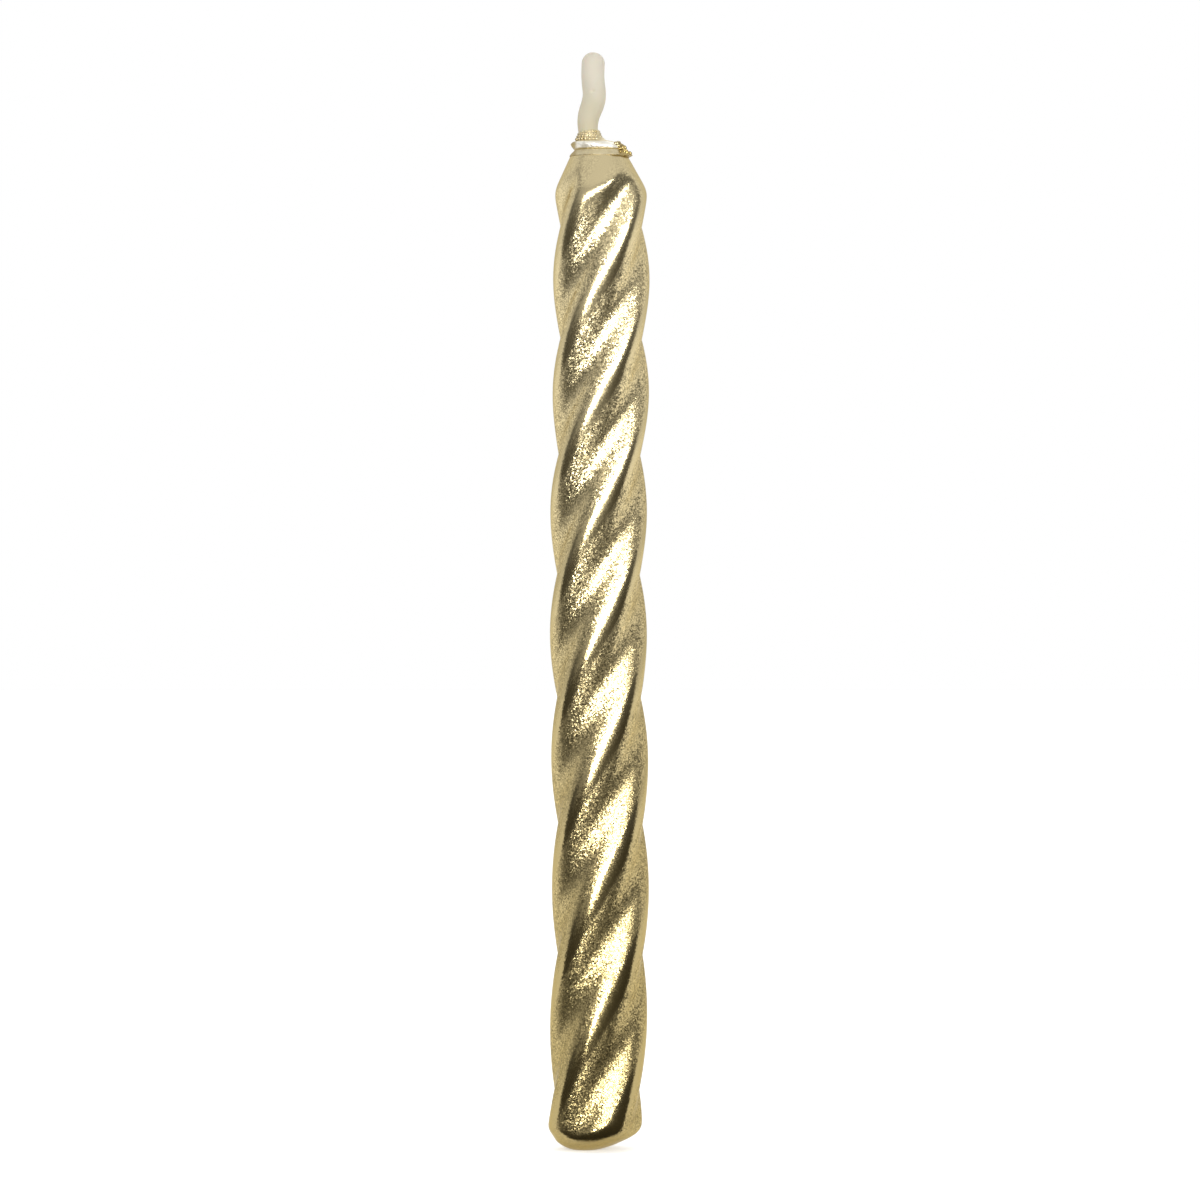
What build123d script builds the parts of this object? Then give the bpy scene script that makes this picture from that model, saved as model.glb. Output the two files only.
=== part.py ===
"""Spiral birthday candle: a twisted, fluted wax body on a primed cotton wick.

Millimetres, +Z up. The origin is the centre of the foot and the candle's axis is Z.
"""

import math
import os

from build123d import *

os.makedirs("parts", exist_ok=True)

# Fluted section of the body
lobes = 4
crest_r = 2.81  # axis to the top of a crest
crest_round = 1.6  # rounding of a crest
flute_depth = 0.06  # how far a flute dips below the flat that spans two crests
crest_start = 5.92  # degrees from +X to the first crest at the foot

# Twist: the lead is the height of one full right-handed turn, and it shortens towards the tip
foot_lead = 32.4
tip_lead = 25.2
twist_step = 7.6  # degrees of twist between two sections of the loft
end_overrun = 0.5  # the twisted bar is cut from a bar this much longer at each end

# Ends of the body
body_height = 57.6
envelope_margin = 0.12  # room between the crests and the turned envelope of both ends
foot_land_r = 1.05  # flat land that the candle stands on
foot_dome_r = 3.5
foot_corner_r = 1.2
tip_face_r = 1.6
shoulder_angle = 27.0  # degrees between the shoulder's side and the axis
shoulder_round = 0.8

# Bead of coating gathered round the wick on the tip face
bead_r = 1.55
bead_height = 0.7
bead_taper = 23.0  # degrees between the bead's side and the axis

# Wick: a cotton cord, with a sleeve of priming wax on the bare end
cord_r = 0.45
sleeve_r = 0.63
wick_stub = 5.2  # from the top of the bead to the end of the wick
wick_cover = 1.5  # wax under the lower end of the wick
lean_start = 3.0  # the wick leaves the axis this far below the tip face
exit_lean = -0.64  # and has moved this far along X
exit_rise = 0.8  # at this height above the bead, where it turns back
end_lean = -0.28  # it ends this far along X
lean_bend_r = 16.0
exit_bend_r = 7.0

half_pitch = 180 / lobes
crest_centre_r = crest_r - crest_round
flat_r = crest_centre_r * math.cos(math.radians(half_pitch)) + crest_round
flute_r = flat_r - flute_depth
foot_rate = 360 / foot_lead
rate_growth = (360 / tip_lead - foot_rate) / (2 * body_height)
bead_top = body_height + bead_height
wick_top = bead_top + wick_stub


def flute_round() -> float:
    """Radius of the flute arc that touches both of its crests and dips to flute_r."""
    reach = 2 * crest_centre_r * flute_r * math.cos(math.radians(half_pitch))
    return (crest_centre_r**2 + flute_r**2 - crest_round**2 - reach) / (2 * flute_depth)


def twist_at(z: float) -> float:
    """Twist from the foot, in degrees, at a height: its rate grows evenly up the body."""
    return foot_rate * z + rate_growth * z**2


def section_plane(twist: float) -> Plane:
    """Level plane at the height of a twist, with its X axis turned to the first crest."""
    z = 2 * twist / (foot_rate + math.sqrt(foot_rate**2 + 4 * rate_growth * twist))
    angle = math.radians(crest_start + twist)
    return Plane(origin=(0, 0, z), x_dir=(math.cos(angle), math.sin(angle), 0), z_dir=(0, 0, 1))


def fluted_outline() -> None:
    """Draw the crest and flute arcs, each tangent to the next, in the current sketch."""
    flute_arc_r = flute_round()
    flute_centre_r = flute_r + flute_arc_r
    across = flute_centre_r * math.sin(math.radians(half_pitch))
    along = flute_centre_r * math.cos(math.radians(half_pitch)) - crest_centre_r
    crest_half = math.degrees(math.atan2(across, along))
    flute_half = crest_half - half_pitch
    for lobe in range(lobes):
        crest_angle = 2 * half_pitch * lobe
        flute_angle = crest_angle + half_pitch
        crest_centre = Vector(crest_centre_r, 0).rotate(Axis.Z, crest_angle)
        flute_centre = Vector(flute_centre_r, 0).rotate(Axis.Z, flute_angle)
        CenterArc(crest_centre, crest_round, crest_angle - crest_half, 2 * crest_half)
        CenterArc(flute_centre, flute_arc_r, flute_angle + 180 + flute_half, -2 * flute_half)


# Route of the wick: up the axis, then a lean to one side and part of the way back
wick_points = [
    (0, 0, wick_cover),
    (0, 0, body_height - lean_start),
    (exit_lean, 0, bead_top + exit_rise),
    (end_lean, 0, wick_top - sleeve_r),
]
with BuildLine() as wick_route:
    wick_line = FilletPolyline(*wick_points, radius=[lean_bend_r, exit_bend_r])

with BuildPart() as wick_cord:
    with BuildSketch(Plane.XY.offset(wick_cover)):
        Circle(cord_r)
    sweep(path=wick_route.line)
wick_cord.part.label = "wick_cord"
export_step(wick_cord.part, "parts/wick_cord.step")

# Turned envelope of the body: flat land, domed foot, open side, conical shoulder, flat tip
envelope_r = crest_r + envelope_margin
foot_dome_top = math.sqrt(foot_dome_r**2 - foot_land_r**2) - math.sqrt(foot_dome_r**2 - envelope_r**2)
shoulder_base = body_height - (envelope_r - tip_face_r) / math.tan(math.radians(shoulder_angle))
with BuildSketch(Plane.XZ) as envelope:
    with BuildLine():
        Line((0, 0), (foot_land_r, 0))
        RadiusArc((foot_land_r, 0), (envelope_r, foot_dome_top), -foot_dome_r)
        Polyline(
            (envelope_r, foot_dome_top),
            (envelope_r, shoulder_base),
            (tip_face_r, body_height),
            (0, body_height),
            (0, 0),
        )
    make_face()
    fillet(envelope.vertices().group_by(Axis.X)[-1].sort_by(Axis.Y)[0], foot_corner_r)
    fillet(envelope.vertices().group_by(Axis.X)[-1].sort_by(Axis.Y)[-1], shoulder_round)

with BuildPart() as wax_body:
    bar_start = twist_at(-end_overrun)
    bar_twist = twist_at(body_height + end_overrun) - bar_start
    layers = math.ceil(bar_twist / twist_step)
    for layer in range(layers + 1):
        with BuildSketch(section_plane(bar_start + bar_twist * layer / layers)):
            with BuildLine():
                fluted_outline()
            make_face()
    loft(ruled=True)
    revolve(envelope.sketch, axis=Axis.Z, mode=Mode.INTERSECT)
    add(wick_cord.part, mode=Mode.SUBTRACT)
wax_body.part.label = "wax_body"
export_step(wax_body.part, "parts/wax_body.step")

with BuildPart() as tip_bead:
    with BuildSketch(Plane.XY.offset(body_height)):
        Circle(bead_r)
    extrude(amount=bead_height, taper=bead_taper)
    add(wick_cord.part, mode=Mode.SUBTRACT)
tip_bead.part.label = "tip_bead"
export_step(tip_bead.part, "parts/tip_bead.step")

with BuildPart() as wick_sleeve:
    with BuildSketch(Plane.XY.offset(wick_cover)):
        Circle(sleeve_r)
    sweep(path=wick_route.line)
    with Locations(wick_points[-1]):
        Sphere(sleeve_r)
    split(bisect_by=Plane.XY.offset(bead_top), keep=Keep.TOP)
    add(wick_cord.part, mode=Mode.SUBTRACT)
wick_sleeve.part.label = "wick_sleeve"
export_step(wick_sleeve.part, "parts/wick_sleeve.step")

print("flute radius", round(flute_round(), 3), "layers", layers)
print("wick length", round(wick_line.length, 2), "overall height", round(wick_top, 2))
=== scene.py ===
"""Spiral birthday candle: a gold lacquered, twisted body with a gathered bead and a waxed wick.

Metres, +Z up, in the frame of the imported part: the candle stands on its foot at the origin.
"""

import logging
import math
from dataclasses import dataclass, field
from enum import Enum
from typing import Any

import bmesh
import bpy
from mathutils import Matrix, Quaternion, Vector, noise


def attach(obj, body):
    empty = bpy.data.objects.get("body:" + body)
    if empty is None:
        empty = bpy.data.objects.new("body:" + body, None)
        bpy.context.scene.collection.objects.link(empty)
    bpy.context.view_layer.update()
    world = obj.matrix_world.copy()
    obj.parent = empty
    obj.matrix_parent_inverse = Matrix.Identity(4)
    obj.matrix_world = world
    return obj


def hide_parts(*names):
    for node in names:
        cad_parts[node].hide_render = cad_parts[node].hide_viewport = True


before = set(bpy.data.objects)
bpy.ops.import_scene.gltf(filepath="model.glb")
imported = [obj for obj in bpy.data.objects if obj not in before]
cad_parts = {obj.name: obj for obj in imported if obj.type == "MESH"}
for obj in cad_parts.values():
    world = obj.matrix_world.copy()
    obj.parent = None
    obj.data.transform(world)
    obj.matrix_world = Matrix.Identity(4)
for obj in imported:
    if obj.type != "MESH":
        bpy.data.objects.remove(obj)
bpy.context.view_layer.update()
BODY = "root"
MILLIMETRE = 0.001
FULL_TURN = math.tau
SEAM_GAP = 0.0005 * MILLIMETRE
SPLINE_STEPS = 24
MIDDLE = 0.5
WHITE = (1.0, 1.0, 1.0)

log = logging.getLogger("candle")

Colour = tuple[float, float, float]
Points = tuple[tuple[float, float], ...]
Inputs = dict[str | int, Any]


def mm(length: float) -> float:
    """Give a length in millimetres as metres."""
    return length * MILLIMETRE


def per_mm(size: float) -> float:
    """Give the texture scale at which one cell measures so many millimetres."""
    return 1.0 / mm(size)


def opaque(colour: Colour) -> tuple[float, float, float, float]:
    """Add full opacity to a linear colour."""
    return (*colour, 1.0)


class Value:
    """The value of a socket in a node tree. Arithmetic on it adds Math nodes."""

    def __init__(self, graph: "Graph", socket: bpy.types.NodeSocket) -> None:
        """Keep the tree and the socket that the value comes from."""
        self.graph = graph
        self.socket = socket

    def __add__(self, other: "Value | float") -> "Value":
        """Add two values."""
        return self.graph.math("ADD", self, other)

    def __radd__(self, other: float) -> "Value":
        """Add a value to a number."""
        return self.graph.math("ADD", other, self)

    def __sub__(self, other: "Value | float") -> "Value":
        """Take the other value away."""
        return self.graph.math("SUBTRACT", self, other)

    def __rsub__(self, other: float) -> "Value":
        """Take this value away from a number."""
        return self.graph.math("SUBTRACT", other, self)

    def __mul__(self, other: "Value | float") -> "Value":
        """Multiply two values."""
        return self.graph.math("MULTIPLY", self, other)

    def __rmul__(self, other: float) -> "Value":
        """Multiply a number by this value."""
        return self.graph.math("MULTIPLY", other, self)

    def __truediv__(self, other: "Value | float") -> "Value":
        """Divide by the other value."""
        return self.graph.math("DIVIDE", self, other)


class Graph:
    """A node tree with short calls that add nodes and link them."""

    def __init__(self, tree: bpy.types.NodeTree) -> None:
        """Keep the tree that nodes are added to."""
        self.tree = tree

    def feed(self, socket: bpy.types.NodeSocket, value: Any) -> None:
        """Link a value or an output socket to an input, or set the input to a constant.

        Args:
            socket: The input to feed.
            value: A Value or an output socket to link, or a constant.
        """
        if isinstance(value, Value):
            value = value.socket
        if isinstance(value, bpy.types.NodeSocket):
            self.tree.links.new(value, socket)
        else:
            socket.default_value = value

    def add(self, kind: str, inputs: Inputs | None = None, **settings: Any) -> bpy.types.Node:
        """Add a node.

        Args:
            kind: The node's type.
            inputs: What each input socket is fed with, by the socket's name or place.
            settings: Properties of the node.

        Returns:
            The new node.
        """
        node = self.tree.nodes.new(kind)
        for name, value in settings.items():
            setattr(node, name, value)
        for key, value in (inputs or {}).items():
            self.feed(node.inputs[key], value)
        return node

    def take(self, kind: str, output: str | int, inputs: Inputs | None = None, **settings: Any) -> Value:
        """Add a node and give one of its outputs, by its name or place, as a value."""
        return Value(self, self.add(kind, inputs, **settings).outputs[output])

    def math(self, operation: str, *values: "Value | float") -> Value:
        """Add a Math node with its inputs in order, and give the result."""
        return self.take("ShaderNodeMath", 0, dict(enumerate(values)), operation=operation)

    def vector(self, operation: str, first: Any, second: Any = None) -> Value:
        """Add a Vector Math node with one or two inputs.

        Args:
            operation: What the node does.
            first: The first vector.
            second: The second vector, or the factor where the node scales.

        Returns:
            The node's first output.
        """
        inputs: Inputs = {0: first}
        if second is not None:
            inputs["Scale" if operation == "SCALE" else 1] = second
        return self.take("ShaderNodeVectorMath", 0, inputs, operation=operation)

    def split(self, vector: Any) -> list[Value]:
        """Give the X, Y and Z of a vector."""
        node = self.add("ShaderNodeSeparateXYZ", {0: vector})
        return [Value(self, part) for part in node.outputs]

    def remap(self, value: Value, low: float, high: float, start: Any, end: Any) -> Value:
        """Carry a value smoothly from the range low to high over to start to end, held at both ends."""
        inputs = {"Value": value, "From Min": low, "From Max": high, "To Min": start, "To Max": end}
        return self.take("ShaderNodeMapRange", "Result", inputs, interpolation_type="SMOOTHSTEP")

    def curve(self, value: Value, points: Points) -> Value:
        """Carry a value along a smooth curve.

        Args:
            value: The value, 0 to 1.
            points: What the curve gives at some values, both 0 to 1, the first at 0 and the last at 1.

        Returns:
            What the curve gives.
        """
        node = self.add("ShaderNodeFloatCurve", {"Value": value})
        line = node.mapping.curves[0]
        line.points[0].location = points[0]
        line.points[-1].location = points[-1]
        for point in points[1:-1]:
            line.points.new(*point)
        for point in line.points:
            point.handle_type = "AUTO_CLAMPED"
        node.mapping.update()
        return Value(self, node.outputs[0])


class GrowthTree(Graph):
    """A Geometry Nodes tree with named inputs, which grows one plain mesh."""

    def __init__(self, name: str) -> None:
        """Make an empty tree with one geometry input and one output.

        Args:
            name: The tree's name.
        """
        super().__init__(bpy.data.node_groups.new(name, "GeometryNodeTree"))
        self.settings: dict[str, Any] = {}
        self.tree.interface.new_socket("Geometry", in_out="INPUT", socket_type="NodeSocketGeometry")
        self.tree.interface.new_socket("Geometry", in_out="OUTPUT", socket_type="NodeSocketGeometry")
        self.entry = self.tree.nodes.new("NodeGroupInput")
        self.result = self.tree.nodes.new("NodeGroupOutput")

    def expose(self, name: str, value: Any) -> Value:
        """Add a named input and note what the modifier sets it to.

        Args:
            name: The input's name.
            value: What the modifier sets it to: a number or a material.

        Returns:
            The input's value in the tree.
        """
        kinds = {float: "NodeSocketFloat", int: "NodeSocketInt"}
        kind = kinds.get(type(value), "NodeSocketMaterial")
        socket = self.tree.interface.new_socket(name, in_out="INPUT", socket_type=kind)
        self.settings[socket.identifier] = value
        return Value(self, self.entry.outputs[name])

    def waves(self, spot: Any, cell: float, seed: float) -> Value:
        """Add slow, seeded noise with cells in millimetres, about -0.5 to 0.5."""
        inputs = {"Vector": spot, "W": self.expose("Seed", seed), "Scale": per_mm(cell), "Detail": 1.0}
        return self.take("ShaderNodeTexNoise", 0, inputs, noise_dimensions="4D") - MIDDLE

    def join(self, node: bpy.types.Node) -> bpy.types.NodeSocket:
        """Join the points of a node's mesh that meet at a seam."""
        inputs = {"Geometry": node.outputs[0], "Distance": SEAM_GAP}
        return self.add("GeometryNodeMergeByDistance", inputs).outputs[0]

    def close(self, geometry: Any, material: bpy.types.Material) -> None:
        """End the tree: realize what was instanced and set the material.

        Args:
            geometry: The socket with the finished geometry.
            material: The finish of the piece.
        """
        finish = self.expose("Finish", material)
        plain = self.add("GeometryNodeRealizeInstances", {"Geometry": geometry})
        dressed = self.add("GeometryNodeSetMaterial", {"Geometry": plain.outputs[0], "Material": finish})
        self.feed(self.result.inputs[0], dressed.outputs[0])

    def grow(self, name: str, base: bpy.types.ID | None = None) -> bpy.types.Object:
        """Run the tree and keep its result as a plain mesh.

        Args:
            name: The piece's name.
            base: A mesh or curve that the tree starts from. Without one it starts from nothing.

        Returns:
            An object at the origin that holds the finished mesh.
        """
        host = bpy.data.objects.new(name + "_growth", base or bpy.data.meshes.new(name + "_growth"))
        bpy.context.collection.objects.link(host)
        modifier = host.modifiers.new("growth", "NODES")
        modifier.node_group = self.tree
        for identifier, value in self.settings.items():
            modifier[identifier] = value
        depsgraph = bpy.context.evaluated_depsgraph_get()
        grown = host.evaluated_get(depsgraph)
        mesh = bpy.data.meshes.new_from_object(grown, preserve_all_data_layers=True, depsgraph=depsgraph)
        bpy.data.objects.remove(host)
        mesh.name = name
        return place(name, mesh)


def place(name: str, mesh: bpy.types.Mesh) -> bpy.types.Object:
    """Link a finished mesh to the scene at the origin, shaded smooth.

    Args:
        name: The object's name.
        mesh: The finished mesh.

    Returns:
        The object.
    """
    mesh.shade_smooth()
    piece = bpy.data.objects.new(name, mesh)
    bpy.context.collection.objects.link(piece)
    return piece


class Slot(Enum):
    """Material slots of the record."""

    GOLD = "gold_lacquer"
    BEAD = "bead_lacquer"
    COTTON = "wick_cotton"
    WAX = "priming_wax"


def settle(piece: bpy.types.Object, slot: Slot, *nodes: str) -> None:
    """Hand a finished piece over to the frame and report it.

    Args:
        piece: The finished piece.
        slot: The record's material slot that it stands for, only named in the log.
        nodes: The CAD nodes that it stands for.
    """
    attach(piece, BODY)
    if nodes:
        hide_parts(*nodes)
    triangles = sum(len(face.vertices) - 2 for face in piece.data.polygons)
    stands_for = nodes or "no node"
    log.info("%s: %d triangles, slot %s, stands for %s", piece.name, triangles, slot.value, stands_for)


class MaterialGraph(Graph):
    """The node tree of a material, with its shader and the piece's own coordinates."""

    def __init__(self, name: str) -> None:
        """Make a material with one shader.

        Args:
            name: The material's name.
        """
        self.material = bpy.data.materials.new(name)
        self.material.use_nodes = True
        super().__init__(self.material.node_tree)
        self.tree.nodes.clear()
        self.shader = self.add("ShaderNodeBsdfPrincipled")
        self.add("ShaderNodeOutputMaterial", {"Surface": self.shader.outputs[0]})
        self.place = Value(self, self.add("ShaderNodeTexCoord").outputs["Object"])

    def set(self, **inputs: Any) -> None:
        """Feed the shader's inputs, named with underscores for spaces."""
        for name, value in inputs.items():
            self.feed(self.shader.inputs[name.replace("_", " ")], value)

    def noise(self, cell: float, detail: float = 2.0) -> Value:
        """Add noise on the piece's own coordinates, with cells in millimetres, about 0 to 1."""
        inputs = {"Vector": self.place, "Scale": per_mm(cell), "Detail": detail}
        return self.take("ShaderNodeTexNoise", 0, inputs)

    def blend(self, share: Value, start: Any, end: Any) -> Value:
        """Mix two colours.

        Args:
            share: Share of the second colour.
            start: The first colour, linear.
            end: The second colour, linear.

        Returns:
            The mixed colour.
        """
        node = self.add("ShaderNodeMix", data_type="RGBA")
        self.feed(node.inputs["Factor"], share)
        for socket, colour in zip(node.inputs[6:8], (start, end)):
            self.feed(socket, opaque(colour) if isinstance(colour, tuple) else colour)
        return Value(self, node.outputs[2])

    def bump(self, height: Value, depth: float) -> Value:
        """Turn a height, 0 to 1, into a normal, where 1 measures so many millimetres."""
        return self.take("ShaderNodeBump", 0, {"Height": height, "Distance": mm(depth), "Strength": 1.0})

    def flakes(self, cell: float) -> Value:
        """Split the surface into flakes of a size in millimetres, with three random numbers for each."""
        inputs = {"Vector": self.place, "Scale": per_mm(cell)}
        return self.take("ShaderNodeTexVoronoi", "Color", inputs, feature="F1")

    def lean(self, flakes: Value, tilt: Value | float) -> Value:
        """Tilt the normal of each flake by its random numbers.

        Args:
            flakes: The random numbers of each flake.
            tilt: How far a flake's normal leans.

        Returns:
            The tilted normal.
        """
        centred = self.vector("SUBTRACT", flakes, (MIDDLE, MIDDLE, MIDDLE))
        leaned = self.vector("SCALE", centred, tilt)
        normal = self.take("ShaderNodeNewGeometry", "Normal")
        return self.vector("NORMALIZE", self.vector("ADD", normal, leaned))


@dataclass(frozen=True)
class GoldLacquer:
    """Metallic gold lacquer with fine flakes: smooth on the crests, grainy in the flutes, with painted light
    that darkens the foot and pales the tip.
    """

    name: str = "gold lacquer"
    # Painted light: the tip tone is paler and the foot tone darker, standing in for the brighter
    # surroundings mirrored higher up the candle.
    painted_light_tip_tone: Colour = (0.63, 0.53, 0.31)
    painted_shade_foot_tone: Colour = (0.41, 0.325, 0.15)
    fade_low: float = 4.0
    fade_high: float = 56.0
    cloud: float = 2.4
    cloud_drift: float = 14.0
    flake: float = 0.064
    crest_tilt: float = 0.08
    flute_tilt: float = 0.33
    speckle: float = 0.6
    crest_roughness: float = 0.16
    tip_roughness: float = 0.23
    flute_roughness: float = 0.33
    edge_tint: Colour = (0.8, 0.73, 0.55)
    grain_start: float = 0.99
    grain_full: float = 0.68
    grain_low: float = 0.6
    grain_foot: float = 1.9
    grain_tip: float = 49.0
    grain_high: float = 59.0
    foot_grain: float = 0.2
    tip_grain: float = 0.1

    def mix(self) -> bpy.types.Material:
        """Make the material.

        Returns:
            The material.
        """
        graph = MaterialGraph(self.name)
        crest = graph.take("ShaderNodeAttribute", "Fac", attribute_name="crest")
        height = graph.split(graph.place)[2]
        above = graph.remap(height, mm(self.grain_low), mm(self.grain_foot), self.foot_grain, 1.0)
        below = graph.remap(height, mm(self.grain_tip), mm(self.grain_high), 1.0, self.tip_grain)
        grain = graph.remap(crest, self.grain_full, self.grain_start, 1.0, 0.0) * above * below
        # Painted light: with height the base tone goes from the darker foot tone to the paler tip tone; the
        # same share also raises the roughness.
        drift = (graph.noise(self.cloud) - MIDDLE) * mm(self.cloud_drift)
        fade = graph.remap(height + drift, mm(self.fade_low), mm(self.fade_high), 0.0, 1.0)
        tilt = graph.remap(grain, 0.0, 1.0, self.crest_tilt, self.flute_tilt)
        smooth = graph.remap(fade, 0.0, 1.0, self.crest_roughness, self.tip_roughness)
        roughness = graph.remap(grain, 0.0, 1.0, smooth, self.flute_roughness)
        flakes = graph.flakes(self.flake)
        tone_with_painted_light = graph.blend(fade, self.painted_shade_foot_tone, self.painted_light_tip_tone)
        spread = graph.split(flakes)[0] * 2.0 - 1.0
        shine = 1.0 + spread * grain * self.speckle
        graph.set(
            Base_Color=graph.vector("SCALE", tone_with_painted_light, shine),
            Metallic=1.0,
            Roughness=roughness,
            Specular_Tint=opaque(self.edge_tint),
            Normal=graph.lean(flakes, tilt),
        )
        return graph.material


@dataclass(frozen=True)
class GatheredLacquer:
    """The same lacquer where it has run together: thicker and softer, with a painted highlight on its pale
    band and painted shade in the groove under the band and at its left and right ends.
    """

    name: str = "gathered lacquer"
    # Painted highlight: pale is the bright band of the bead in the bead's own finish; the crumbs set it to
    # plain gold.
    pale: Colour = (0.9, 0.87, 0.78)
    # Painted shade in the groove under the band and at the bead's left and right ends, mixed with random
    # darker mottling.
    mottle_and_painted_shade: Colour = (0.4, 0.3, 0.11)
    upper: Colour = (0.62, 0.53, 0.32)
    skirt: Colour = (0.58, 0.5, 0.31)
    skirt_low: float = 57.73
    skirt_high: float = 57.79
    cloud: float = 0.5
    cloud_low: float = 0.4
    cloud_high: float = 0.75
    cloud_share: float = 0.3
    groove_low: float = 57.84
    groove_high: float = 57.93
    band_low: float = 58.22
    band_high: float = 58.3
    middle: float = -0.1
    painted_highlight_reach: float = 1.1
    painted_side_shade_reach: float = 1.36
    wrinkle: float = 0.35
    wrinkle_depth: float = 0.014
    metallic: float = 0.5
    roughness: float = 0.45

    def mix(self) -> bpy.types.Material:
        """Make the material.

        Returns:
            The material.
        """
        graph = MaterialGraph(self.name)
        side, _, height = graph.split(graph.place)
        clouds = graph.remap(graph.noise(self.cloud), self.cloud_low, self.cloud_high, 0.0, self.cloud_share)
        lifted = graph.remap(height, mm(self.skirt_low), mm(self.skirt_high), 0.0, 1.0)
        # Painted shade: the groove under the band is darkened.
        painted_groove_shade = graph.remap(height, mm(self.groove_low), mm(self.groove_high), 1.0, 0.0) * lifted
        over = graph.remap(height, mm(self.band_low), mm(self.band_high), 0.0, 1.0)
        # Painted shade: the bead darkens towards its left and right ends.
        aside = graph.math("ABSOLUTE", side - mm(self.middle))
        ends = graph.remap(aside, mm(self.painted_highlight_reach), mm(self.painted_side_shade_reach), 0.0, 1.0)
        share = graph.math("MAXIMUM", clouds, graph.math("MAXIMUM", painted_groove_shade, ends))
        tone_with_painted_light = graph.blend(lifted, self.skirt, graph.blend(over, self.pale, self.upper))
        graph.set(
            Base_Color=graph.blend(share, tone_with_painted_light, self.mottle_and_painted_shade),
            Metallic=self.metallic,
            Roughness=self.roughness,
            Normal=graph.bump(graph.noise(self.wrinkle), self.wrinkle_depth),
        )
        return graph.material


@dataclass(frozen=True)
class PrimingWax:
    """Cream wax on the bare wick, tinted by the lacquer near its base."""

    name: str = "priming wax"
    pale: Colour = (0.71, 0.66, 0.545)
    tinted: Colour = (0.62, 0.565, 0.4)
    tint_low: float = 58.8
    tint_high: float = 62.6
    cloud: float = 1.1
    cloud_drift: float = 2.0
    pore: float = 0.5
    pore_depth: float = 0.02
    roughness: float = 0.7
    gloss: float = 0.2
    glow: float = 0.15
    glow_depth: float = 0.4

    def mix(self) -> bpy.types.Material:
        """Make the material.

        Returns:
            The material.
        """
        graph = MaterialGraph(self.name)
        drift = (graph.noise(self.cloud) - MIDDLE) * mm(self.cloud_drift)
        height = graph.split(graph.place)[2] + drift
        fade = graph.remap(height, mm(self.tint_low), mm(self.tint_high), 0.0, 1.0)
        graph.set(
            Base_Color=graph.blend(fade, self.tinted, self.pale),
            Roughness=self.roughness,
            Specular_IOR_Level=self.gloss,
            Normal=graph.bump(graph.noise(self.pore), self.pore_depth),
            Subsurface_Weight=self.glow,
            Subsurface_Scale=mm(self.glow_depth),
        )
        return graph.material


@dataclass(frozen=True)
class CottonYarn:
    """Bleached cotton: fine fibres along the plies."""

    name: str = "cotton yarn"
    pale: Colour = (0.8, 0.76, 0.66)
    shaded: Colour = (0.6, 0.54, 0.42)
    fibre: float = 0.12
    fibre_detail: float = 4.0
    fibre_depth: float = 0.02
    roughness: float = 0.85
    fuzz: float = 0.2

    def mix(self) -> bpy.types.Material:
        """Make the material.

        Returns:
            The material.
        """
        graph = MaterialGraph(self.name)
        fibres = graph.noise(self.fibre, self.fibre_detail)
        graph.set(
            Base_Color=graph.blend(fibres, self.shaded, self.pale),
            Roughness=self.roughness,
            Normal=graph.bump(fibres, self.fibre_depth),
            Sheen_Weight=self.fuzz,
        )
        return graph.material


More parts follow.
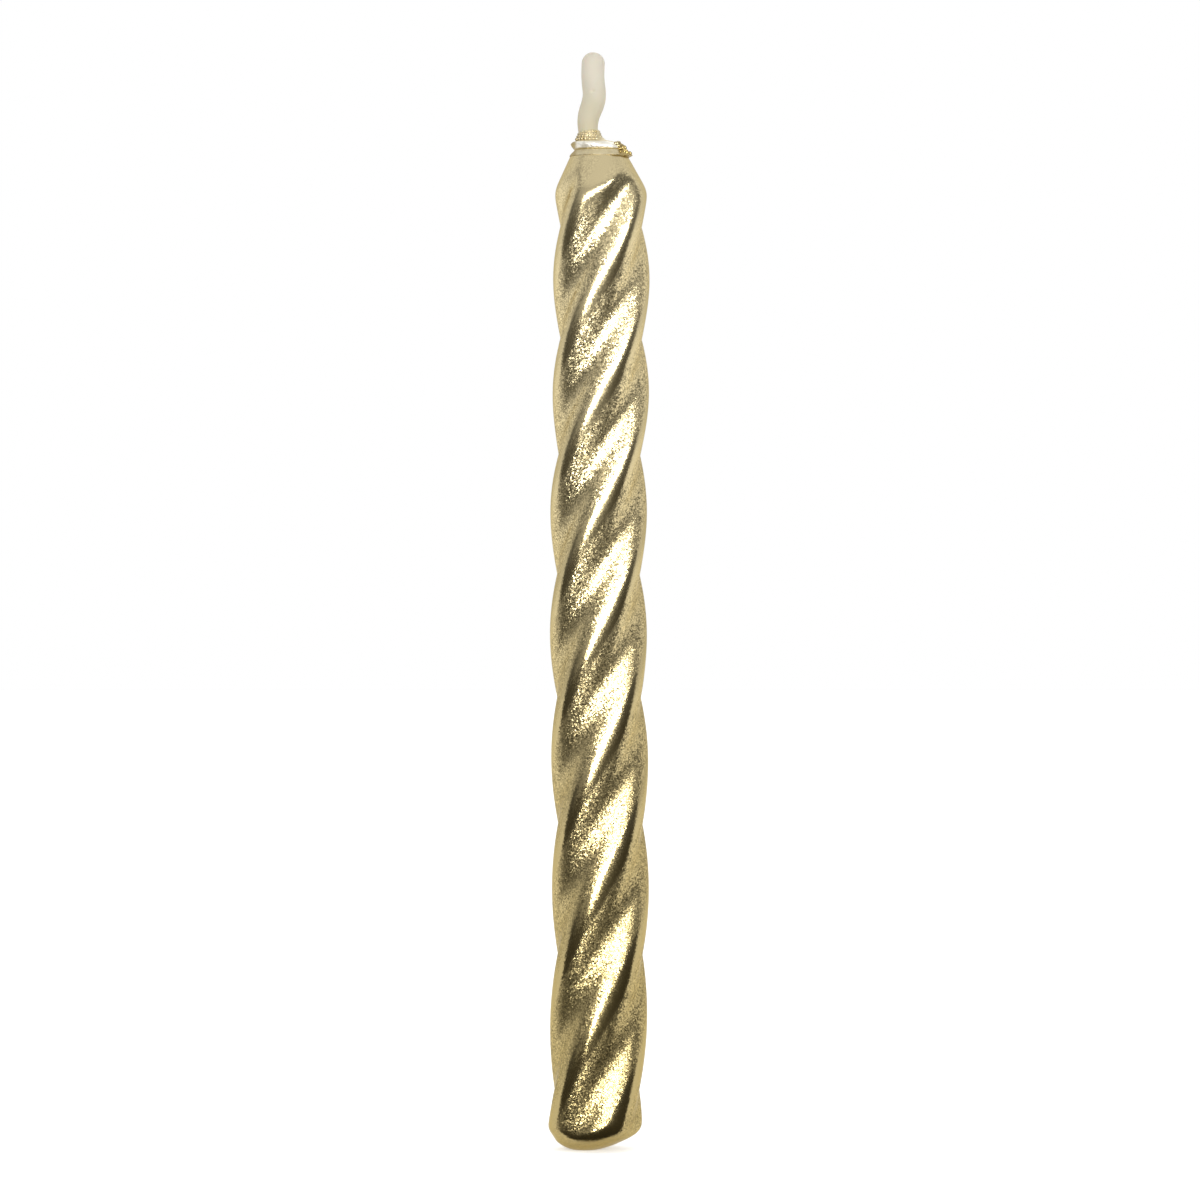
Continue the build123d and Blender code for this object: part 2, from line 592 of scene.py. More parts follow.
@dataclass
class FlutedBody:
    """Twisted wax body: crests and flutes that wind up from a domed foot to a conical shoulder."""

    finish: GoldLacquer = field(default_factory=GoldLacquer)
    height: float = mm(57.6)
    lobes: int = 4
    crest_radius: float = mm(2.81)
    crest_rounding: float = mm(1.6)
    flute_depth: float = mm(0.06)
    first_crest: float = math.radians(5.92)
    foot_lead: float = mm(32.4)
    tip_lead: float = mm(25.2)
    land_radius: float = mm(0.8)
    dome_radius: float = mm(3.5)
    dome_blend: float = mm(0.4)
    tip_radius: float = mm(1.6)
    shoulder_angle: float = math.radians(27.0)
    shoulder_blend: float = mm(0.4)
    lip_rounding: float = mm(0.06)
    groove_low: float = mm(12.0)
    groove_high: float = mm(50.0)
    groove_fade: float = mm(55.6)
    groove_end: float = mm(57.2)
    groove_depth: float = mm(0.15)
    groove_turn: float = math.radians(10.0)
    groove_spread: float = 0.9
    bow: Points = (
        (0.0, -0.8),
        (0.5, -0.55),
        (1.1, -0.26),
        (1.9, -0.19),
        (3.5, -0.13),
        (7.5, -0.02),
        (15.0, 0.08),
        (22.8, 0.04),
        (30.0, -0.03),
        (38.0, -0.01),
        (43.0, 0.1),
        (50.9, 0.14),
        (54.5, 0.13),
        (57.6, 0.0),
    )
    bow_reach: float = 1.0
    wave: float = 9.0
    wave_height: float = mm(0.05)
    seed: float = 4.0
    rows: int = 520
    columns: int = 160
    end_crowding: float = 0.86

    @property
    def crest_centre(self) -> float:
        """Distance from the axis to the centre of a crest's arc."""
        return self.crest_radius - self.crest_rounding

    @property
    def half_pitch(self) -> float:
        """Angle from a crest to the middle of the next flute."""
        return math.pi / self.lobes

    @property
    def flute_bottom(self) -> float:
        """Distance from the axis to the bottom of a flute."""
        flat = self.crest_centre * math.cos(self.half_pitch) + self.crest_rounding
        return flat - self.flute_depth

    @property
    def flute_rounding(self) -> float:
        """Work out the flute's arc, which touches both crests.

        Returns:
            The arc's radius.
        """
        reach = 2 * self.crest_centre * self.flute_bottom * math.cos(self.half_pitch)
        squares = self.crest_centre**2 + self.flute_bottom**2 - self.crest_rounding**2
        return (squares - reach) / (2 * self.flute_depth)

    @property
    def meeting_angle(self) -> float:
        """Find where the arc of a crest turns into a flute.

        Returns:
            The angle from the middle of the crest to that point.
        """
        flute_centre = self.flute_bottom + self.flute_rounding
        across = flute_centre * math.sin(self.half_pitch)
        along = flute_centre * math.cos(self.half_pitch) - self.crest_centre
        turn = math.atan2(across, along)
        side = self.crest_rounding * math.sin(turn)
        return math.atan2(side, self.crest_centre + self.crest_rounding * math.cos(turn))

    def section_radius(self, tree: GrowthTree, around: Value) -> Value:
        """Radius of the fluted section.

        Args:
            tree: The tree to add nodes to.
            around: Angle from the first crest.

        Returns:
            The distance from the axis to the surface.
        """
        crest_centre = tree.expose("Crest Centre", self.crest_centre)
        crest_rounding = tree.expose("Crest Rounding", self.crest_rounding)
        flute_rounding = tree.expose("Flute Rounding", self.flute_rounding)
        flute_centre = tree.expose("Flute Bottom", self.flute_bottom) + flute_rounding
        from_crest = tree.math("PINGPONG", around, self.half_pitch)
        from_flute = self.half_pitch - from_crest
        crest_side = crest_centre * tree.math("SINE", from_crest)
        crest_rest = tree.math("MAXIMUM", crest_rounding * crest_rounding - crest_side * crest_side, 0.0)
        crest = crest_centre * tree.math("COSINE", from_crest) + tree.math("SQRT", crest_rest)
        flute_side = flute_centre * tree.math("SINE", from_flute)
        flute_rest = tree.math("MAXIMUM", flute_rounding * flute_rounding - flute_side * flute_side, 0.0)
        flute = flute_centre * tree.math("COSINE", from_flute) - tree.math("SQRT", flute_rest)
        in_flute = tree.math("GREATER_THAN", from_crest, tree.expose("Meeting Angle", self.meeting_angle))
        return crest + in_flute * (flute - crest)

    def ends(self, tree: GrowthTree, radius: Value, height: Value) -> Value:
        """Trim the section at the domed foot and the conical shoulder.

        Args:
            tree: The tree to add nodes to.
            radius: Radius of the untrimmed section.
            height: Height above the foot.

        Returns:
            The trimmed radius.
        """
        dome_radius = tree.expose("Dome Radius", self.dome_radius)
        dome_centre = math.sqrt(self.dome_radius**2 - self.land_radius**2)
        below = tree.math("MAXIMUM", tree.expose("Dome Centre", dome_centre) - height, 0.0)
        dome = tree.math("SQRT", dome_radius * dome_radius - below * below)
        trimmed = tree.math("SMOOTH_MIN", radius, dome, self.dome_blend)
        depth = tree.expose("Height", self.height) - height
        cone = tree.expose("Tip Radius", self.tip_radius) + depth * math.tan(self.shoulder_angle)
        trimmed = tree.math("SMOOTH_MIN", trimmed, cone, self.shoulder_blend)
        rounding = tree.expose("Lip Rounding", self.lip_rounding)
        corner = tree.math("MAXIMUM", rounding - depth, 0.0)
        return trimmed - rounding + tree.math("SQRT", rounding * rounding - corner * corner)

    def sway(self, tree: GrowthTree, height: Value) -> Value:
        """Give the bow of the candle and the lean of its foot.

        Args:
            tree: The tree to add nodes to.
            height: Height above the foot.

        Returns:
            How far the axis lies to one side.
        """
        top = self.height / MILLIMETRE
        points = tuple((rise / top, MIDDLE + aside / (2 * self.bow_reach)) for rise, aside in self.bow)
        reach = tree.expose("Bow Reach", mm(self.bow_reach))
        return (tree.curve(height / self.height, points) - MIDDLE) * 2.0 * reach

    def groove(self, tree: GrowthTree, around: Value, height: Value) -> Value:
        """Deepen the flutes towards the tip and lean them over.

        Args:
            tree: The tree to add nodes to.
            around: Angle from the first crest.
            height: Height above the foot.

        Returns:
            How much deeper the flutes are than the section's.
        """
        share = tree.remap(height, self.groove_low, self.groove_high, 0.0, 1.0)
        fading = tree.remap(height, self.groove_fade, self.groove_end, 1.0, 0.0)
        turned = around + share * tree.expose("Groove Turn", self.groove_turn)
        dip = 0.5 - tree.math("COSINE", turned * float(self.lobes)) * 0.5
        depth = share * fading * tree.expose("Groove Depth", self.groove_depth)
        return depth * dip * (1.0 + self.groove_spread - dip * self.groove_spread)

    def build(self) -> None:
        """Grow the body from a sheet that is wrapped round the axis."""
        tree = GrowthTree("fluted body")
        sheet = tree.add("GeometryNodeMeshGrid", {"Size X": 1.0, "Size Y": 1.0})
        tree.feed(sheet.inputs["Vertices X"], tree.expose("Columns", self.columns + 1))
        tree.feed(sheet.inputs["Vertices Y"], tree.expose("Rows", self.rows))
        across, up, _ = tree.split(tree.take("GeometryNodeInputPosition", 0))
        around = (across + 0.5) * FULL_TURN
        row = up + 0.5
        step = 1.0 / (self.rows - 1)
        inner = tree.math("GREATER_THAN", row, step / 2) * tree.math("LESS_THAN", row, 1.0 - step / 2)
        run = tree.take("ShaderNodeClamp", 0, {0: (row - step) / (1.0 - 2 * step)})
        crowding = tree.math("SINE", run * FULL_TURN) * (self.end_crowding / FULL_TURN)
        height = (run - crowding) * self.height
        foot_rate = FULL_TURN / self.foot_lead
        growth = (FULL_TURN / self.tip_lead - foot_rate) / (2 * self.height)
        turn = tree.expose("Foot Rate", foot_rate) + height * tree.expose("Rate Growth", growth)
        angle = around + height * turn + tree.expose("First Crest", self.first_crest)
        crest = tree.math("COSINE", around * float(self.lobes)) * 0.5 + 0.5
        section = self.section_radius(tree, around) - self.groove(tree, around, height)
        radius = self.ends(tree, section, height) * inner
        spot = {
            "X": radius * tree.math("COSINE", angle) + self.sway(tree, height),
            "Y": radius * tree.math("SINE", angle),
            "Z": height,
        }
        point = tree.take("ShaderNodeCombineXYZ", 0, spot)
        wave_height = tree.expose("Wave Height", self.wave_height)
        swell = tree.waves(point, self.wave, self.seed) * wave_height * inner
        outward = tree.vector("NORMALIZE", tree.vector("MULTIPLY", point, (1.0, 1.0, 0.0)))
        pushed = tree.vector("ADD", point, tree.vector("SCALE", outward, swell))
        marked = tree.add(
            "GeometryNodeStoreNamedAttribute",
            {"Geometry": sheet.outputs["Mesh"], "Name": "crest", "Value": crest},
            data_type="FLOAT",
            domain="POINT",
        )
        wrapped = tree.add("GeometryNodeSetPosition", {"Geometry": marked.outputs[0], "Position": pushed})
        tree.close(tree.join(wrapped), self.finish.mix())
        piece = tree.grow("fluted_body")
        face_outwards(piece.data)
        settle(piece, Slot.GOLD, "wax_body")


def face_outwards(mesh: bpy.types.Mesh) -> None:
    """Turn every face of a closed mesh outwards.

    Args:
        mesh: The mesh to mend.
    """
    shell = bmesh.new()
    shell.from_mesh(mesh)
    bmesh.ops.recalc_face_normals(shell, faces=shell.faces)
    shell.to_mesh(mesh)
    shell.free()


def lay_route(name: str, points: Points, order: int) -> bpy.types.Curve:
    """Lay a centre line as a smooth spline.

    Args:
        name: The curve's name.
        points: Side and height of its points, in millimetres.
        order: The spline's order.

    Returns:
        The curve.
    """
    curve = bpy.data.curves.new(name, "CURVE")
    curve.dimensions = "3D"
    spline = curve.splines.new("NURBS")
    spline.points.add(len(points) - 1)
    for point, (side, height) in zip(spline.points, points):
        point.co = (mm(side), 0.0, mm(height), 1.0)
    spline.order_u = order
    spline.use_endpoint_u = True
    spline.resolution_u = SPLINE_STEPS
    return curve


@dataclass
class WickStub:
    """Bare end of the wick in its sleeve of priming wax: a bent, slightly lumpy tube with a round end."""

    finish: PrimingWax = field(default_factory=PrimingWax)
    route: Points = (
        (-0.5, 57.7),
        (-0.55, 58.4),
        (-0.72, 59.2),
        (-0.56, 60.0),
        (-0.16, 60.9),
        (-0.42, 62.0),
        (-0.32, 62.9),
        (-0.29, 63.5),
    )
    base_radius: float = mm(0.55)
    end_radius: float = mm(0.67)
    swell_start: float = 0.12
    swell_end: float = 0.5
    lump: float = 0.9
    lump_height: float = mm(0.05)
    dent_side: float = mm(-0.35)
    dent_height: float = mm(61.19)
    dent_size: float = mm(0.16)
    dent_depth: float = mm(0.07)
    rings: int = 200
    sides: int = 56
    seed: float = 2.0
    order: int = 4

    def build(self) -> None:
        """Grow the tube along its route."""
        tree = GrowthTree("wick stub")
        rings = tree.expose("Rings", self.rings)
        route = tree.add("GeometryNodeResampleCurve", {"Curve": tree.entry.outputs[0], "Count": rings})
        along = tree.take("GeometryNodeSplineParameter", "Factor")
        length = tree.take("GeometryNodeSplineLength", "Length")
        base = tree.expose("Base Radius", self.base_radius)
        end = tree.expose("End Radius", self.end_radius)
        swell = tree.remap(along, self.swell_start, self.swell_end, 0.0, 1.0)
        radius = base + swell * (end - base)
        into_end = tree.math("MAXIMUM", 1.0 - (1.0 - along) * length / end, 0.0)
        rounding = tree.math("SQRT", tree.math("MAXIMUM", 1.0 - into_end * into_end, 0.0))
        sides = tree.expose("Sides", self.sides)
        outline = tree.add("GeometryNodeCurvePrimitiveCircle", {"Resolution": sides, "Radius": 1.0})
        tube = tree.add(
            "GeometryNodeCurveToMesh",
            {
                "Curve": route.outputs[0],
                "Profile Curve": outline.outputs[0],
                "Scale": radius * rounding,
                "Fill Caps": True,
            },
        )
        offset = self.lumps(tree)
        shaped = tree.add("GeometryNodeSetPosition", {"Geometry": tube.outputs[0], "Offset": offset})
        tree.close(tree.join(shaped), self.finish.mix())
        piece = tree.grow("wick_stub", lay_route("wick route", self.route, self.order))
        face_outwards(piece.data)
        settle(piece, Slot.WAX, "wick_sleeve")

    def lumps(self, tree: GrowthTree) -> Value:
        """Push the wax in and out: soft lumps all over and one small dent in front.

        Args:
            tree: The tree to add nodes to.

        Returns:
            The offset of each point.
        """
        spot = tree.take("GeometryNodeInputPosition", 0)
        side, ahead, height = tree.split(spot)
        wave = tree.waves(spot, self.lump, self.seed)
        away = tree.math("POWER", side - self.dent_side, 2.0)
        rise = tree.math("POWER", height - self.dent_height, 2.0)
        reach = tree.math("SQRT", away + rise)
        dent = tree.remap(reach, 0.0, self.dent_size, self.dent_depth, 0.0)
        front = tree.math("LESS_THAN", ahead, 0.0)
        push = wave * tree.expose("Lump Height", self.lump_height) - dent * front
        return tree.vector("SCALE", tree.take("GeometryNodeInputNormal", 0), push)


@dataclass
class WickYarn:
    """Cotton cord inside the wax: three plies that wind round each other up the whole candle."""

    finish: CottonYarn = field(default_factory=CottonYarn)
    route: Points = (
        (0.0, 1.5),
        (0.0, 20.0),
        (0.0, 40.0),
        (0.0, 54.0),
        (-0.1, 55.6),
        (-0.5, 57.6),
        (-0.66, 59.0),
        (-0.48, 60.4),
        (-0.3, 62.0),
        (-0.28, 62.87),
    )
    plies: int = 3
    ply_radius: float = mm(0.2)
    ply_offset: float = mm(0.215)
    lay_length: float = mm(3.2)
    rings: int = 620
    sides: int = 10
    order: int = 3

    def build(self) -> None:
        """Grow the plies along the route."""
        tree = GrowthTree("wick yarn")
        rings = tree.expose("Rings", self.rings)
        route = tree.add("GeometryNodeResampleCurve", {"Curve": tree.entry.outputs[0], "Count": rings})
        along = tree.take("GeometryNodeSplineParameter", "Length")
        turns = along / tree.expose("Lay Length", self.lay_length) * FULL_TURN
        wound = tree.add("GeometryNodeSetCurveTilt", {"Curve": route.outputs[0], "Tilt": turns})
        sides = tree.expose("Sides", self.sides)
        radius = tree.expose("Ply Radius", self.ply_radius)
        outlines = tree.add("GeometryNodeJoinGeometry")
        for ply in range(self.plies):
            angle = FULL_TURN * ply / self.plies
            outline = tree.add("GeometryNodeCurvePrimitiveCircle", {"Resolution": sides, "Radius": radius})
            shift = (self.ply_offset * math.cos(angle), self.ply_offset * math.sin(angle), 0.0)
            moved = tree.add("GeometryNodeTransform", {"Geometry": outline.outputs[0], "Translation": shift})
            tree.tree.links.new(moved.outputs[0], outlines.inputs[0])
        strands = tree.add(
            "GeometryNodeCurveToMesh",
            {"Curve": wound.outputs[0], "Profile Curve": outlines.outputs[0], "Fill Caps": True},
        )
        tree.close(strands.outputs[0], self.finish.mix())
        piece = tree.grow("wick_yarn", lay_route("cord route", self.route, self.order))
        face_outwards(piece.data)
        settle(piece, Slot.COTTON, "wick_cord")


@dataclass
class GatheredBead:
    """Bead of lacquer round the foot of the wick, with bubbles above it and crumbs on one side."""

    finish: GatheredLacquer = field(default_factory=GatheredLacquer)
    profile: Points = (
        (1.56, 57.42),
        (1.69, 57.445),
        (1.69, 57.475),
        (1.64, 57.55),
        (1.55, 57.66),
        (1.45, 57.77),
        (1.4, 57.85),
        (1.43, 57.94),
        (1.43, 58.06),
        (1.36, 58.17),
        (1.2, 58.27),
        (0.98, 58.33),
        (0.78, 58.41),
        (0.69, 58.58),
        (0.63, 58.78),
        (0.57, 58.96),
        (0.4, 59.0),
        (0.0, 58.95),
    )
    crumb_finish: GatheredLacquer = field(
        default_factory=lambda: GatheredLacquer("crumbs", (0.56, 0.47, 0.27), metallic=1.0)
    )
    bubble_finish: GatheredLacquer = field(
        default_factory=lambda: GatheredLacquer(
            "bubbles", upper=(0.55, 0.48, 0.33), cloud=0.2, cloud_share=0.9, metallic=1.0
        )
    )
    wick_side: float = mm(-0.56)
    lean_low: float = 57.8
    lean_high: float = 58.6
    torn_reach: float = 0.1
    torn_power: float = 1.5
    torn_lump: float = 0.14
    torn_rise: float = 0.12
    lump_size: float = 0.42
    lump_share: float = 0.6
    fine_lump: float = 0.03
    fine_scale: float = 3.0
    columns: int = 180
    steps: int = 6
    bubble_rows: tuple[tuple[float, float, float, int], ...] = (
        (58.44, 0.73, 0.1, 20),
        (58.59, 0.67, 0.09, 20),
        (58.74, 0.62, 0.08, 20),
        (58.87, 0.58, 0.06, 22),
    )
    bubble_low: float = 0.75
    bubble_high: float = 1.15
    bubble_seed: int = 11
    crumb_low: float = 0.06
    crumb_high: float = 0.14
    crumb_spread: float = 0.45
    crumb_gap: float = mm(0.16)
    crumb_density: float = 2.2e7
    crumb_inner: float = mm(0.75)
    crumb_outer: float = mm(1.15)
    crumb_floor: float = mm(57.6)
    crumb_ceiling: float = mm(58.45)
    crumb_seed: int = 5
    grain_steps: int = 2

    def outline(self) -> list[tuple[float, float]]:
        """Round off the profile.

        Returns:
            Radius and height of each ring, in millimetres, from the tip face to the axis.
        """
        points = [Vector(point) for point in self.profile]
        rings: list[tuple[float, float]] = []
        for index in range(len(points) - 1):
            before = points[max(index - 1, 0)]
            start, end = points[index], points[index + 1]
            after = points[min(index + 2, len(points) - 1)]
            for step in range(self.steps):
                share = step / self.steps
                bend = (end - before) * share / 2
                bend += (before * 2 - start * 5 + end * 4 - after) * share**2 / 2
                bend += (start * 3 - before - end * 3 + after) * share**3 / 2
                rings.append(tuple(start + bend))
        return rings

    def point(self, radius: float, height: float, angle: float) -> Vector:
        """Place one point of the bead.

        Args:
            radius: Radius of its ring, in millimetres.
            height: Height of its ring, in millimetres.
            angle: Angle round the axis.

        Returns:
            The point, in metres.
        """
        lean = min(max((height - self.lean_low) / (self.lean_high - self.lean_low), 0.0), 1.0)
        torn = max(math.cos(angle), 0.0) ** self.torn_power
        low = 1.0 - lean
        ahead = Vector((math.cos(angle), math.sin(angle), 0.0))
        spot = Vector((radius * ahead.x, radius * ahead.y, height))
        coarse = noise.noise(spot / self.lump_size)
        fine = noise.noise(spot / self.lump_size * self.fine_scale)
        spread = 1.0 + torn * low * self.torn_reach
        push = torn * self.torn_lump * coarse + self.fine_lump * (fine + coarse * self.lump_share)
        out = ahead * (radius * spread + push * min(radius, 1.0))
        rise = torn * low * self.torn_rise * coarse
        return Vector((mm(out.x) + self.wick_side * lean, mm(out.y), mm(height + rise)))

    def build(self) -> None:
        """Make the bead, its crumbs and its bubbles."""
        bead = self.build_bead(self.finish.mix())
        crumbs = self.build_crumbs(bead.data, self.crumb_finish.mix())
        bubbles = self.build_bubbles(self.bubble_finish.mix())
        settle(bead, Slot.BEAD, "tip_bead")
        settle(crumbs, Slot.BEAD)
        settle(bubbles, Slot.BEAD)

    def build_bead(self, material: bpy.types.Material) -> bpy.types.Object:
        """Turn the profile round the wick.

        Args:
            material: The finish.

        Returns:
            The bead.
        """
        shell = bmesh.new()
        rings = self.outline()
        angles = [FULL_TURN * column / self.columns for column in range(self.columns)]
        rows = [[shell.verts.new(self.point(*ring, angle)) for angle in angles] for ring in rings]
        for lower, upper in zip(rows, rows[1:]):
            for column in range(self.columns):
                ahead = (column + 1) % self.columns
                shell.faces.new((lower[column], lower[ahead], upper[ahead], upper[column]))
        for row in (rows[0], rows[-1]):
            middle = sum((vert.co for vert in row), Vector()) / len(row)
            centre = shell.verts.new(middle)
            for column in range(self.columns):
                shell.faces.new((row[column], row[(column + 1) % self.columns], centre))
        bmesh.ops.recalc_face_normals(shell, faces=shell.faces)
        mesh = bpy.data.meshes.new("gathered_bead")
        shell.to_mesh(mesh)
        shell.free()
        mesh.materials.append(material)
        return place("gathered_bead", mesh)

    def build_crumbs(self, bead: bpy.types.Mesh, material: bpy.types.Material) -> bpy.types.Object:
        """Scatter crumbs of dried lacquer over the torn side of the bead, as one piece.

        Args:
            bead: The mesh that they lie on.
            material: The finish.

        Returns:
            The crumbs.
        """
        tree = GrowthTree("lacquer crumbs")
        side, _, height = tree.split(tree.take("GeometryNodeInputPosition", 0))
        torn = tree.remap(side, self.crumb_inner, self.crumb_outer, 0.0, 1.0)
        near = tree.math("LESS_THAN", height, self.crumb_ceiling)
        above = tree.math("GREATER_THAN", height, self.crumb_floor)
        seed = tree.expose("Seed", self.crumb_seed)
        points = tree.add(
            "GeometryNodeDistributePointsOnFaces",
            {
                "Mesh": tree.entry.outputs[0],
                "Distance Min": tree.expose("Gap", self.crumb_gap),
                "Density Max": tree.expose("Density", self.crumb_density),
                "Density Factor": torn * near * above,
                "Seed": seed,
            },
            distribute_method="POISSON",
        )
        size = tree.add("FunctionNodeRandomValue", {"Seed": seed}, data_type="FLOAT_VECTOR")
        tree.feed(size.inputs[0], (mm(self.crumb_low) * (1.0 - self.crumb_spread),) * 3)
        tree.feed(size.inputs[1], (mm(self.crumb_high) * (1.0 + self.crumb_spread),) * 3)
        tree.close(self.grains(tree, points.outputs["Points"], size.outputs[0]), material)
        return tree.grow("lacquer_crumbs", bead)

    def build_bubbles(self, material: bpy.types.Material) -> bpy.types.Object:
        """Set rows of small bubbles round the foot of the wick, as one piece.

        Args:
            material: The finish.

        Returns:
            The bubbles.
        """
        tree = GrowthTree("lacquer bubbles")
        seed = tree.expose("Seed", self.bubble_seed)
        rows = tree.add("GeometryNodeJoinGeometry")
        for height, ring, size, count in self.bubble_rows:
            circle = tree.add("GeometryNodeMeshCircle", {"Vertices": count, "Radius": mm(ring)})
            spot = (self.wick_side, 0.0, mm(height))
            moved = tree.add("GeometryNodeTransform", {"Geometry": circle.outputs[0], "Translation": spot})
            radius = tree.add("FunctionNodeRandomValue", {"Seed": seed}, data_type="FLOAT")
            tree.feed(radius.inputs[2], mm(size * self.bubble_low))
            tree.feed(radius.inputs[3], mm(size * self.bubble_high))
            grown = self.grains(tree, moved.outputs[0], radius.outputs[1])
            tree.tree.links.new(grown, rows.inputs[0])
        tree.close(rows.outputs[0], material)
        return tree.grow("lacquer_bubbles")

    def grains(self, tree: GrowthTree, points: Any, size: Any) -> bpy.types.NodeSocket:
        """Set small round grains on points.

        Args:
            tree: The tree to add nodes to.
            points: The socket with the points.
            size: The radius of the grains.

        Returns:
            The socket with the instances.
        """
        grain = tree.add("GeometryNodeMeshIcoSphere", {"Radius": 1.0, "Subdivisions": self.grain_steps})
        inputs = {"Points": points, "Instance": grain.outputs[0], "Scale": size}
        return tree.add("GeometryNodeInstanceOnPoints", inputs).outputs[0]


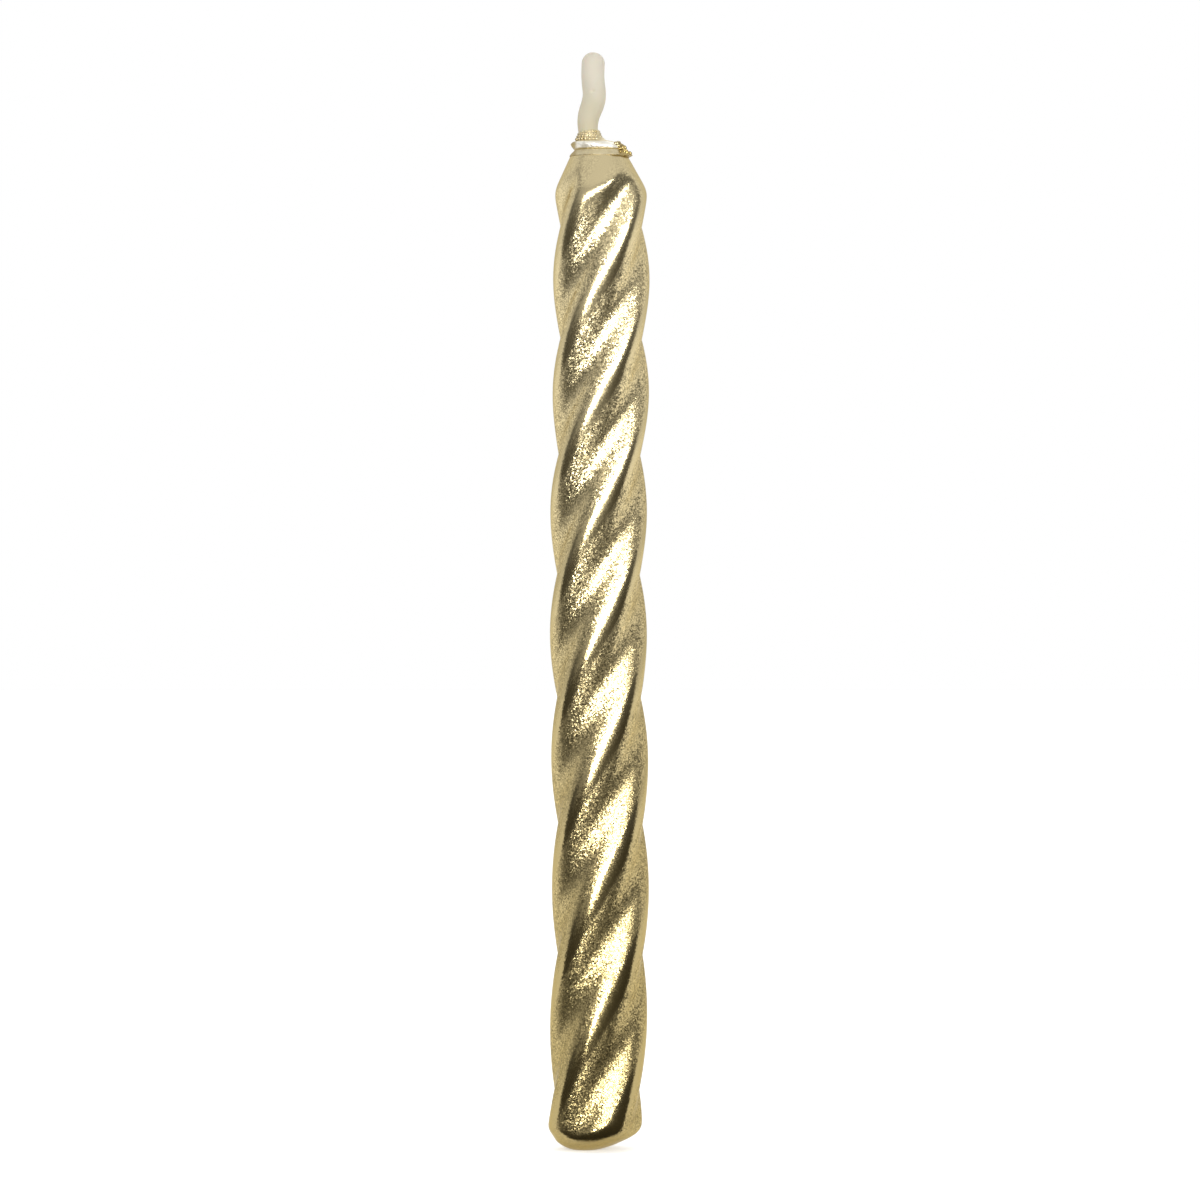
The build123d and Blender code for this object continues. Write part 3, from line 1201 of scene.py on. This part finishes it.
@dataclass
class Studio:
    """White studio: a pale floor, a wide soft box in front and a bright backdrop."""

    aim_height: float = mm(31.78)
    aim_side: float = mm(0.06)
    distance: float = 0.3
    field_width: float = mm(69.47)
    sensor: float = 36.0
    clip_start: float = mm(1.0)
    floor_size: float = 3.0
    floor_colour: Colour = (0.86, 0.86, 0.86)
    floor_roughness: float = 0.9
    floor_lift: float = 0.5
    shade_colour: Colour = (0.08, 0.075, 0.06)
    front_shade: float = mm(-2.15)
    front_light: float = mm(-1.8)
    lamp_distance: float = 0.6
    lamp_turn: float = math.radians(9.0)
    lamp_rise: float = math.radians(11.0)
    lamp_roll: float = math.radians(15.0)
    box_half_width: float = math.radians(37.0)
    box_half_height: float = math.radians(5.5)
    box_radiance: float = 24.0
    fill_half_width: float = math.radians(41.0)
    fill_half_height: float = math.radians(15.0)
    fill_radiance: float = 3.0
    dark: float = 0.11
    ceiling_dark: float = math.radians(34.0)
    ceiling_white: float = math.radians(48.0)
    front_end: float = -0.08
    back_start: float = 0.1
    surround: float = 0.92
    glow_turn: float = math.radians(-28.0)
    glow_rise: float = math.radians(28.0)
    glow_core: float = math.radians(14.0)
    glow_edge: float = math.radians(54.0)
    glow: float = 0.6
    back_turn: float = math.radians(168.0)
    back_rise: float = math.radians(32.0)
    back_core: float = math.radians(9.0)
    back_edge: float = math.radians(13.0)
    back_glow: float = 2.5

    def build(self) -> None:
        """Make the floor, the surroundings, the lamps and the camera."""
        self.build_floor()
        self.build_surroundings()
        self.build_lamps()
        self.build_camera()
        bpy.context.scene.view_settings.view_transform = "Standard"

    def build_floor(self) -> None:
        """Make the floor that the candle stands on."""
        shell = bmesh.new()
        bmesh.ops.create_grid(shell, x_segments=1, y_segments=1, size=self.floor_size / 2)
        mesh = bpy.data.meshes.new("floor")
        shell.to_mesh(mesh)
        shell.free()
        floor = bpy.data.objects.new("floor", mesh)
        bpy.context.collection.objects.link(floor)
        graph = MaterialGraph("studio paper")
        path = graph.add("ShaderNodeLightPath")
        mirrored = Value(graph, path.outputs["Is Glossy Ray"])
        along = graph.split(graph.place)[1]
        shaded = mirrored * graph.remap(along, self.front_shade, self.front_light, 1.0, 0.0)
        seen = graph.math("MAXIMUM", Value(graph, path.outputs["Is Camera Ray"]), mirrored - shaded)
        graph.set(
            Base_Color=graph.blend(shaded, self.floor_colour, self.shade_colour),
            Roughness=self.floor_roughness,
            Specular_IOR_Level=0.0,
            Emission_Color=opaque(WHITE),
            Emission_Strength=seen * self.floor_lift,
        )
        mesh.materials.append(graph.material)

    def build_surroundings(self) -> None:
        """Make the world: bright behind and above, dark round the soft box."""
        world = bpy.data.worlds.new("studio")
        world.use_nodes = True
        bpy.context.scene.world = world
        graph = Graph(world.node_tree)
        graph.tree.nodes.clear()
        towards = graph.take("ShaderNodeTexCoord", "Generated")
        _, backward, upward = graph.split(towards)
        above = graph.remap(upward, math.sin(self.ceiling_dark), math.sin(self.ceiling_white), 0.0, 1.0)
        behind = graph.remap(backward, self.front_end, self.back_start, 0.0, 1.0)
        bright = graph.math("MAXIMUM", above, behind)
        for turn, rise, core, edge, strength in (
            (self.glow_turn, self.glow_rise, self.glow_core, self.glow_edge, self.glow),
            (self.back_turn, self.back_rise, self.back_core, self.back_edge, self.back_glow),
        ):
            inputs = {0: towards, 1: self.direction(turn, rise)}
            facing = graph.take("ShaderNodeVectorMath", "Value", inputs, operation="DOT_PRODUCT")
            glow = graph.remap(facing, math.cos(edge), math.cos(core), 0.0, strength)
            bright = graph.math("MAXIMUM", bright, glow)
        level = self.dark + bright * (self.surround - self.dark)
        seen = graph.take("ShaderNodeLightPath", "Is Camera Ray")
        strength = level + seen * (1.0 - level)
        shade = graph.add("ShaderNodeBackground", {"Color": opaque(WHITE), "Strength": strength})
        graph.add("ShaderNodeOutputWorld", {"Surface": shade.outputs[0]})

    def build_lamps(self) -> None:
        """Hang a wide soft box in front of the candle, and a fill for matt surfaces."""
        box = self.hang("soft box", self.box_half_width, self.box_half_height, self.box_radiance)
        box.visible_diffuse = False
        fill = self.hang("fill", self.fill_half_width, self.fill_half_height, self.fill_radiance)
        fill.visible_glossy = False

    def hang(self, name: str, half_width: float, half_height: float, radiance: float) -> bpy.types.Object:
        """Hang one wide lamp that faces the candle.

        Args:
            name: The lamp's name.
            half_width: Angle from its middle to its sides, seen from the candle.
            half_height: Angle from its middle to its upper and lower edge.
            radiance: Its brightness, where 1 is white.

        Returns:
            The lamp.
        """
        data = bpy.data.lights.new(name, "AREA")
        data.shape = "RECTANGLE"
        data.size = 2 * self.lamp_distance * math.tan(half_width)
        data.size_y = 2 * self.lamp_distance * math.tan(half_height)
        data.energy = radiance * math.pi * data.size * data.size_y
        away = self.direction(self.lamp_turn, self.lamp_rise)
        lamp = bpy.data.objects.new(name, data)
        lamp.location = Vector((self.aim_side, 0.0, self.aim_height)) + away * self.lamp_distance
        facing = (-away).to_track_quat("-Z", "Y")
        lamp.rotation_euler = (facing @ Quaternion((0.0, 0.0, 1.0), self.lamp_roll)).to_euler()
        lamp.visible_camera = False
        bpy.context.collection.objects.link(lamp)
        return lamp

    def direction(self, turn: float, rise: float) -> Vector:
        """Give the direction that lies so far to the right of the front and above the level."""
        level = math.cos(rise)
        return Vector((math.sin(turn) * level, -math.cos(turn) * level, math.sin(rise)))

    def build_camera(self) -> None:
        """Set up the camera at the photograph's viewing angle."""
        data = bpy.data.cameras.new("camera")
        data.sensor_width = self.sensor
        data.lens = self.sensor * self.distance / self.field_width
        data.clip_start = self.clip_start
        camera = bpy.data.objects.new("camera", data)
        camera.location = (self.aim_side, -self.distance, self.aim_height)
        camera.rotation_euler = (math.pi / 2, 0.0, 0.0)
        bpy.context.collection.objects.link(camera)
        bpy.context.scene.camera = camera


def main() -> None:
    """Build the candle and its studio."""
    logging.basicConfig(level=logging.INFO, format="%(name)s: %(message)s")
    FlutedBody().build()
    WickYarn().build()
    WickStub().build()
    GatheredBead().build()
    Studio().build()


if __name__ == "__main__":
    main()
